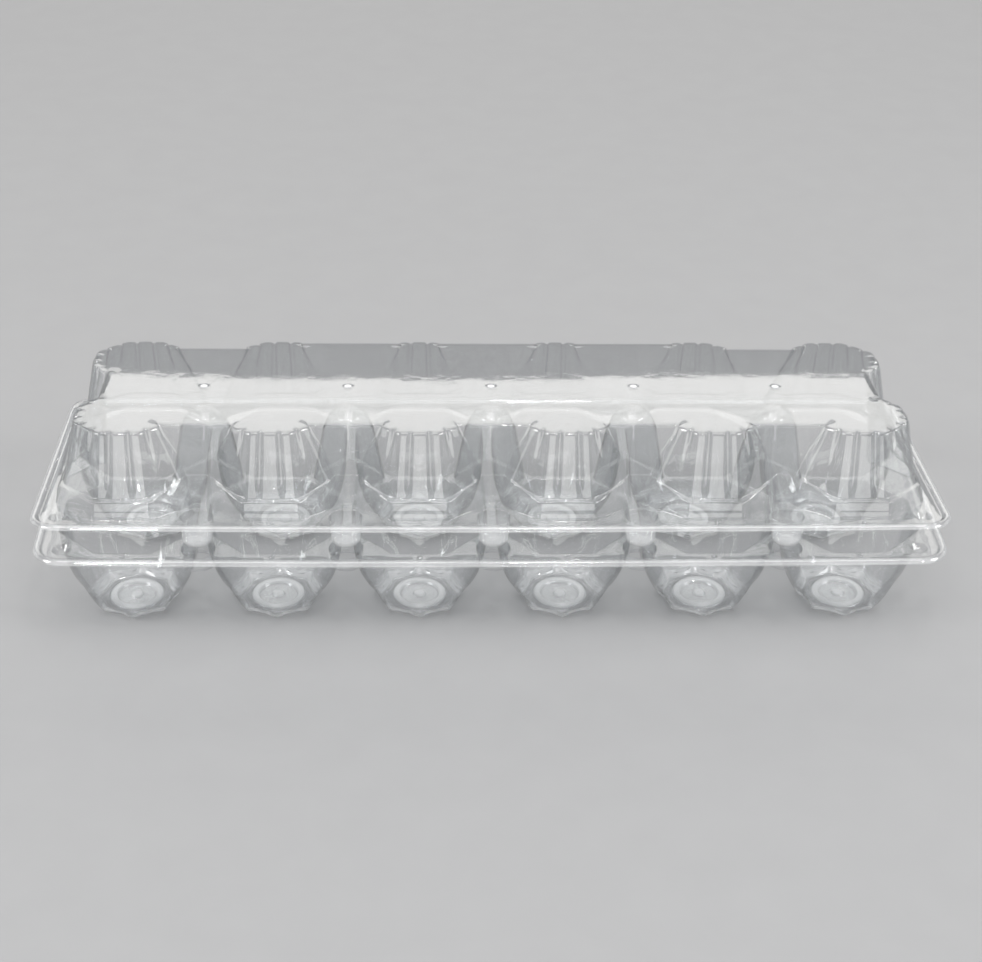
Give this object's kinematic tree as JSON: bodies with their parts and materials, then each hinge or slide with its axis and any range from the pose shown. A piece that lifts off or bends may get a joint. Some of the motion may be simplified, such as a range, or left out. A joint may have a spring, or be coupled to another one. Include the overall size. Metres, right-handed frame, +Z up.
{
  "type": "egg carton",
  "caption": "Clear thermoformed clamshell egg carton with two rows of egg cells, a domed snap-shut lid standing ajar, and a living hinge along the back.",
  "frame": {"origin": "on the floor, under the middle of the bounding box", "axes": "+X along the length, +Z up, the living hinge at the back on the +Y side, the snap edge at -Y"},
  "size_m": [0.3, 0.1062, 0.0727],
  "materials": {
    "clear_pet": "glossy, clear"
  },
  "bodies": {
    "tray": {"tray_rim_front": "clear_pet", "tray_rim_back": "clear_pet", "tray_rim_left": "clear_pet", "tray_rim_right": "clear_pet", "egg_cell_front_1": "clear_pet", "egg_cell_front_2": "clear_pet", "egg_cell_front_3": "clear_pet", "egg_cell_front_4": "clear_pet", "egg_cell_front_5": "clear_pet", "egg_cell_front_6": "clear_pet", "egg_cell_back_1": "clear_pet", "egg_cell_back_2": "clear_pet", "egg_cell_back_3": "clear_pet", "egg_cell_back_4": "clear_pet", "egg_cell_back_5": "clear_pet", "egg_cell_back_6": "clear_pet", "centre_post_1": "clear_pet", "centre_post_2": "clear_pet", "centre_post_3": "clear_pet", "centre_post_4": "clear_pet", "centre_post_5": "clear_pet", "snap_socket_1": "clear_pet", "snap_socket_2": "clear_pet", "snap_socket_3": "clear_pet", "snap_socket_4": "clear_pet", "snap_socket_5": "clear_pet", "living_hinge": "clear_pet"},
    "lid": {"lid_rim_front": "clear_pet", "lid_rim_back": "clear_pet", "lid_rim_left": "clear_pet", "lid_rim_right": "clear_pet", "lid_dome_front_1": "clear_pet", "lid_dome_front_2": "clear_pet", "lid_dome_front_3": "clear_pet", "lid_dome_front_4": "clear_pet", "lid_dome_front_5": "clear_pet", "lid_dome_front_6": "clear_pet", "lid_dome_back_1": "clear_pet", "lid_dome_back_2": "clear_pet", "lid_dome_back_3": "clear_pet", "lid_dome_back_4": "clear_pet", "lid_dome_back_5": "clear_pet", "lid_dome_back_6": "clear_pet", "lid_plate": "clear_pet", "tip_pocket_1": "clear_pet", "tip_pocket_2": "clear_pet", "tip_pocket_3": "clear_pet", "tip_pocket_4": "clear_pet", "tip_pocket_5": "clear_pet", "snap_button_1": "clear_pet", "snap_button_2": "clear_pet", "snap_button_3": "clear_pet", "snap_button_4": "clear_pet", "snap_button_5": "clear_pet"}
  },
  "joints": [
    {"name": "lid_hinge", "type": "hinge", "parent": "tray", "child": "lid", "pos_m": [0, 0.05221, 0.0334], "axis": [-1, 0, 0], "range_deg": [-6.7, 172], "stiffness_Nm_per_rad": 0.02, "springref_deg": 20.63, "deforming": ["living_hinge"]}
  ]
}
